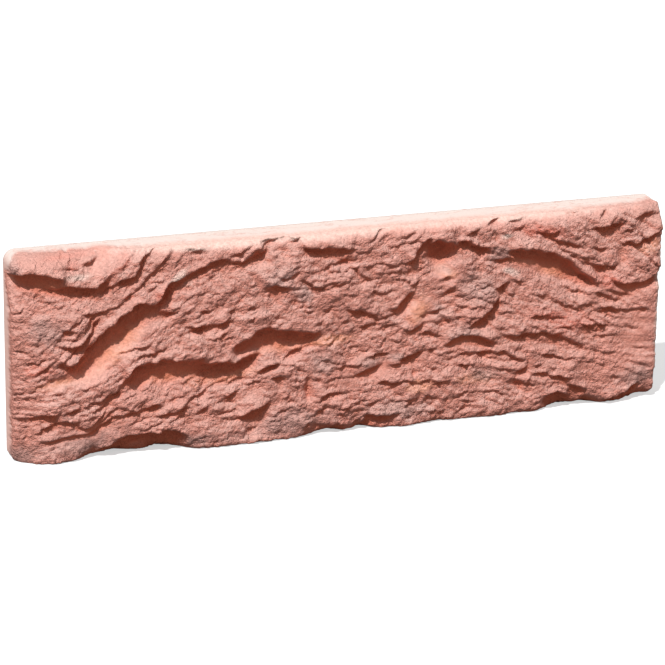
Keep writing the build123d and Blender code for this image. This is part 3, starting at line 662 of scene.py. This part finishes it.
    # painted shade: the share of these rays, around the key light's direction, that the stone itself hides
    normal = addNode(tree, "GeometryNodeInputNormal").outputs[0]
    lifted = addNode(tree, "ShaderNodeVectorMath", multiplyAdd,
                     {0: normal, 1: (0.15 * mm,) * 3, 2: position}).outputs[0]
    hidden = 0.0
    for direction in shadeRayDirections:
        hit = addNode(tree, "GeometryNodeRaycast", None,
                      {"Target Geometry": moved, "Source Position": lifted, "Ray Direction": direction,
                       "Ray Length": 15 * mm}).outputs["Is Hit"]
        hidden = addNode(tree, "ShaderNodeMath", plus, {0: hit, 1: hidden}).outputs[0]
    share = addNode(tree, "ShaderNodeMath", divide, {0: hidden, 1: len(shadeRayDirections)}).outputs[0]
    share = addNode(tree, "GeometryNodeBlurAttribute", {"data_type": "FLOAT"},
                    {"Value": share, "Iterations": 3}).outputs[0]
    moved = addNode(tree, "GeometryNodeStoreNamedAttribute", onPoints,
                    {"Geometry": moved, "Name": "paintedShade", "Value": share}).outputs[0]
    # lean: how far it faces up
    lean = addNode(tree, "ShaderNodeSeparateXYZ", None, {0: normal}).outputs[2]
    moved = addNode(tree, "GeometryNodeStoreNamedAttribute", onPoints,
                    {"Geometry": moved, "Name": "lean", "Value": lean}).outputs[0]
    whole = addNode(tree, "GeometryNodeRealizeInstances", None, {0: moved}).outputs[0]
    painted = addNode(tree, "GeometryNodeSetMaterial", None,
                      {"Geometry": whole, "Material": material}).outputs[0]
    addNode(tree, "NodeGroupOutput", None, {"Geometry": painted})
    return tree


# wet-cast coloured concrete: terracotta pink, matt and sandy where the mould was riven stone, paler and
# closed where it lay against the smooth mould walls or was struck off flat; some colours below carry painted
# shade and painted highlight too, as said at each
concrete = {
    "body": "#C38172",
    "hollowFloor": "#DA8B75",
    "orange": "#E29676",
    # painted shade, for creases and places hidden from the key light
    "paintedShade": "#CA6C50",
    "grey": "#AD847B",
    # pale cream, partly a painted highlight
    "creamAndHighlight": "#E6CBBE",
    "red": "#CC6B57",
    # dust and painted highlight, for faces that look up
    "dustAndHighlight": "#D0A89D",
    # the top side's pale cast skin, partly a painted highlight
    "topSkinAndHighlight": "#D1C1B9",
    "castEnd": "#E2B7AB",
    "hairline": "#BE6650",
    "cloudSize": 16.0,     # mm, and the same for the three below
    "mottleSize": 4.0,
    "speckSize": 0.9,
    "grain": 0.7,
    "grainHeight": 0.95,   # mm
    "roughness": 0.92,
    "specular": 0.25,
}


def castConcrete():
    material = bpy.data.materials.new("wetCastConcrete")
    material.use_nodes = True
    tree = material.node_tree
    tree.nodes.clear()
    read = {
        name: addNode(tree, "ShaderNodeAttribute", {"attribute_name": name}).outputs["Fac"]
        for name in ("riven", "inside", "upper", "calm", "orange", "grey", "creamAndHighlight", "red", "hollow", "deep",
                     "lean", "paintedShade")
    }
    place = addNode(tree, "ShaderNodeTexCoord").outputs["Object"]
    inMm = addNode(tree, "ShaderNodeVectorMath", {"operation": "SCALE"},
                   {0: place, "Scale": 1000.0}).outputs[0]
    cloud, mottle, speck, sand = (
        addNode(tree, "ShaderNodeTexNoise", None,
                {"Vector": inMm, "Scale": 1 / concrete[size], "Detail": detail, "Roughness": r}).outputs[0]
        for size, detail, r in (("cloudSize", 4.0, 0.6), ("mottleSize", 4.0, 0.65),
                                    ("speckSize", 2.0, 0.7), ("grain", 2.0, 0.65))
    )

    # hollows keep the strong colour
    floor = addNode(tree, "ShaderNodeMapRange", None,
                    {"Value": read["deep"], "From Min": -0.3, "From Max": 1.8}).outputs[0]
    floor = addNode(tree, "ShaderNodeMath", multiply, {0: floor, 1: read["inside"]}).outputs[0]
    colour = {name: hexColour(code) for name, code in concrete.items() if str(code).startswith("#")}
    base = addNode(tree, "ShaderNodeMix", colours,
                   {0: floor, 6: colour["body"], 7: colour["hollowFloor"]}).outputs[2]

    # patches, broken up by a mottle
    for name, most in (("orange", 0.8), ("red", 0.7), ("grey", 0.75), ("creamAndHighlight", 0.7)):
        broken = addNode(tree, "ShaderNodeMath", multiplyAdd, {0: mottle, 1: 1.2, 2: read[name]}).outputs[0]
        amount = addNode(tree, "ShaderNodeMapRange", None,
                         {"Value": broken, "From Min": 0.9, "From Max": 1.5, "To Max": most}).outputs[0]
        base = addNode(tree, "ShaderNodeMix", colours,
                       {0: amount, 6: base, 7: colour[name]}).outputs[2]

    # dust, partly a painted highlight: paler where the stone faces up towards the key light, in clouds
    rising = addNode(tree, "ShaderNodeMapRange", None,
                     {"Value": read["lean"], "From Min": -0.05, "From Max": 0.5}).outputs[0]
    dustAndHighlightAmount = addNode(tree, "ShaderNodeMath", multiply, {0: rising, 1: cloud}).outputs[0]
    base = addNode(tree, "ShaderNodeMix", colours, {0: dustAndHighlightAmount, 6: base, 7: colour["dustAndHighlight"]}).outputs[2]

    # painted shade: a darker, stronger colour in creases and where the stone hides the key light
    shade = addNode(tree, "ShaderNodeMapRange", None,
                    {"Value": read["paintedShade"], "From Min": 0.2, "From Max": 0.8}).outputs[0]
    paintedCreaseShade = addNode(tree, "ShaderNodeMapRange", None,
                     {"Value": read["hollow"], "From Min": 0.25, "From Max": 1.2}).outputs[0]
    paintedShadeAmount = addNode(tree, "ShaderNodeMath", {"operation": "MAXIMUM"}, {0: shade, 1: paintedCreaseShade}).outputs[0]
    paintedShadeAmount = addNode(tree, "ShaderNodeMath", multiply, {0: paintedShadeAmount, 1: read["inside"]}).outputs[0]
    base = addNode(tree, "ShaderNodeMix", colours, {0: paintedShadeAmount, 6: base, 7: colour["paintedShade"]}).outputs[2]

    # specks, weaker under the painted shade
    low = addNode(tree, "ShaderNodeMath", multiplyAdd, {0: paintedShadeAmount, 1: 0.14, 2: 0.82}).outputs[0]
    high = addNode(tree, "ShaderNodeMath", multiplyAdd, {0: paintedShadeAmount, 1: -0.14, 2: 1.18}).outputs[0]
    dark = addNode(tree, "ShaderNodeMapRange", None,
                   {"Value": speck, "From Min": 0.3, "From Max": 0.7,
                    "To Min": low, "To Max": high}).outputs[0]
    base = addNode(tree, "ShaderNodeVectorMath", {"operation": "SCALE"}, {0: base, "Scale": dark}).outputs[0]

    # cast sides, with an uneven border to the riven face
    border = addNode(tree, "ShaderNodeMath", multiplyAdd, {0: mottle, 1: 0.8, 2: read["riven"]}).outputs[0]
    side = addNode(tree, "ShaderNodeMapRange", None,
                   {"Value": border, "From Min": 0.5, "From Max": 1.2}).outputs[0]
    # the top side is paler: partly its own cast skin, partly a painted highlight
    atTop = addNode(tree, "ShaderNodeMapRange", None,
                    {"Value": read["upper"], "From Min": 0.93, "From Max": 0.99}).outputs[0]
    skin = addNode(tree, "ShaderNodeMix", colours,
                   {0: atTop, 6: colour["castEnd"], 7: colour["topSkinAndHighlight"]}).outputs[2]

    # hairline cracks along the skin, stained by the body under it
    drawn = addNode(tree, "ShaderNodeVectorMath", multiply, {0: inMm, 1: (1 / 15, 1 / 4, 1 / 4)}).outputs[0]
    vein = addNode(tree, "ShaderNodeTexNoise", None,
                   {"Vector": drawn, "Scale": 1.0, "Detail": 4.0, "Roughness": 0.6}).outputs[0]
    vein = addNode(tree, "ShaderNodeMath", subtract, {0: vein, 1: 0.5}).outputs[0]
    vein = addNode(tree, "ShaderNodeMath", {"operation": "ABSOLUTE"}, {0: vein}).outputs[0]
    vein = addNode(tree, "ShaderNodeMapRange", None,
                   {"Value": vein, "From Min": 0.016, "From Max": 0.004, "To Max": 0.8}).outputs[0]
    vein = addNode(tree, "ShaderNodeMath", multiply, {0: vein, 1: cloud}).outputs[0]
    vein = addNode(tree, "ShaderNodeMath", multiply, {0: vein, 1: atTop}).outputs[0]
    skin = addNode(tree, "ShaderNodeMix", colours, {0: vein, 6: skin, 7: colour["hairline"]}).outputs[2]
    base = addNode(tree, "ShaderNodeMix", colours, {0: side, 6: skin, 7: base}).outputs[2]

    # sand grain, weaker where the stone parted smoothly and on the cast sides
    rough = addNode(tree, "ShaderNodeMapRange", None, {"Value": read["riven"], "To Min": 0.15}).outputs[0]
    quiet = addNode(tree, "ShaderNodeMath", multiplyAdd, {0: read["calm"], 1: -0.6, 2: 1.0}).outputs[0]
    rough = addNode(tree, "ShaderNodeMath", multiply, {0: rough, 1: quiet}).outputs[0]
    bump = addNode(tree, "ShaderNodeBump", None,
                   {"Height": sand, "Distance": concrete["grainHeight"] * mm, "Strength": rough}).outputs[0]
    shader = addNode(tree, "ShaderNodeBsdfPrincipled", None,
                     {"Base Color": base, "Roughness": concrete["roughness"], "IOR": 1.5,
                      "Specular IOR Level": concrete["specular"], "Normal": bump}).outputs[0]
    addNode(tree, "ShaderNodeOutputMaterial", None, {"Surface": shader})
    return material


concreteMaterial = castConcrete()
modifier = stonePiece.modifiers.new("splitAndCrumble", "NODES")
modifier.node_group = fineReliefTree(concreteMaterial)
for item in modifier.node_group.interface.items_tree:
    if item.in_out == "INPUT" and item.name in fineRelief:
        modifier[item.identifier] = fineRelief[item.name]
finished = bpy.data.meshes.new_from_object(stonePiece.evaluated_get(bpy.context.evaluated_depsgraph_get()))
stonePiece.modifiers.clear()
stonePiece.data = finished
stonePiece.data.name = "stone"
if not finished.materials:
    finished.materials.append(concreteMaterial)
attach(stonePiece, "root")
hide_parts("cladding_stone")
finished.calc_loop_triangles()
print("stone finished:", len(finished.loop_triangles), "triangles")


# studio: white floor and background, an almost hard key light high at the left, even light around
studio = {
    "keyDirection": (-0.37, -0.46, 0.81),
    "keySpread": 2.0,       # degrees across
    "keyStrength": 4.45,
    "around": 0.43,
    "floorReach": 6.0,      # m
    "floor": "#FFFFFF",
    "floorBounce": "#6E6E6E",
    "floorGlow": 0.55,      # share of the floor's look that is plain white, which keeps its shadow pale
}


def studioFloor():
    mesh = bpy.data.meshes.new("floor")
    r = studio["floorReach"]
    mesh.from_pydata([(-r, -r, 0), (r, -r, 0), (r, r, 0), (-r, r, 0)], [], [(0, 1, 2, 3)])
    floor = bpy.data.objects.new("floor", mesh)
    bpy.context.scene.collection.objects.link(floor)
    material = bpy.data.materials.new("paintedStudioFloor")
    material.use_nodes = True
    tree = material.node_tree
    tree.nodes.clear()
    seen = addNode(tree, "ShaderNodeLightPath").outputs["Is Camera Ray"]
    colour = addNode(tree, "ShaderNodeMix", colours,
                     {0: seen, 6: hexColour(studio["floorBounce"]), 7: hexColour(studio["floor"])}).outputs[2]
    painted = addNode(tree, "ShaderNodeBsdfDiffuse", None, {"Color": colour}).outputs[0]
    white = addNode(tree, "ShaderNodeEmission", None, {"Color": (1, 1, 1, 1), "Strength": 1.0}).outputs[0]
    share = addNode(tree, "ShaderNodeMath", multiply, {0: seen, 1: studio["floorGlow"]}).outputs[0]
    shader = addNode(tree, "ShaderNodeMixShader", None, {0: share, 1: painted, 2: white}).outputs[0]
    addNode(tree, "ShaderNodeOutputMaterial", None, {"Surface": shader})
    mesh.materials.append(material)


def studioLight():
    direction = Vector(studio["keyDirection"]).normalized()
    lamp = bpy.data.lights.new("keyLight", "SUN")
    lamp.angle, lamp.energy = math.radians(studio["keySpread"]), studio["keyStrength"]
    key = bpy.data.objects.new("keyLight", lamp)
    key.rotation_euler = direction.to_track_quat("Z", "Y").to_euler()
    bpy.context.scene.collection.objects.link(key)
    world = bpy.data.worlds.new("studio")
    bpy.context.scene.world = world
    world.use_nodes = True
    tree = world.node_tree
    tree.nodes.clear()
    seen = addNode(tree, "ShaderNodeLightPath").outputs["Is Camera Ray"]
    strength = addNode(tree, "ShaderNodeMix", {"data_type": "FLOAT"},
                       {0: seen, 2: studio["around"], 3: 1.0}).outputs[0]
    light = addNode(tree, "ShaderNodeBackground", None,
                    {"Color": (1, 1, 1, 1), "Strength": strength}).outputs[0]
    addNode(tree, "ShaderNodeOutputWorld", None, {"Surface": light})


studioFloor()
studioLight()
print("studio ready")


# camera: left of square on and looking down, with a long lens, as measured from the photograph's outline
cameraView = {
    "turn": 20.12,          # degrees to the left of square on
    "tip": 18.64,           # degrees above
    "roll": 1.0,
    "distance": 926.2,      # mm from the middle of the stone
    "behindFace": 6.5,      # mm from the back plane to the point it turns about
    "lens": 162.4,
    "imageSize": 665,
    "shiftRight": 9.36,     # pixels
    "shiftUp": 6.05,
}


def photoCamera():
    turn, tip, roll = (math.radians(cameraView[k]) for k in ("turn", "tip", "roll"))
    forward = Vector((math.sin(turn) * math.cos(tip), math.cos(turn) * math.cos(tip), -math.sin(tip)))
    level = Vector((math.cos(turn), -math.sin(turn), 0))
    upright = level.cross(forward)
    right = level * math.cos(roll) + upright * math.sin(roll)
    up = upright * math.cos(roll) - level * math.sin(roll)
    aim = Vector((0, backPlane - cameraView["behindFace"] * mm, 0.5 * stoneForm["height"] * mm))
    data = bpy.data.cameras.new("camera")
    data.lens, data.sensor_width = cameraView["lens"], 36.0
    data.shift_x = -cameraView["shiftRight"] / cameraView["imageSize"]
    data.shift_y = -cameraView["shiftUp"] / cameraView["imageSize"]
    data.clip_start, data.clip_end = 0.01, 20
    camera = bpy.data.objects.new("camera", data)
    camera.matrix_world = Matrix.Translation(aim - forward * cameraView["distance"] * mm) @ Matrix(
        (right, up, -forward)).transposed().to_4x4()
    bpy.context.scene.collection.objects.link(camera)
    bpy.context.scene.camera = camera


photoCamera()
bpy.context.scene.view_settings.view_transform = "Standard"
print("camera ready")
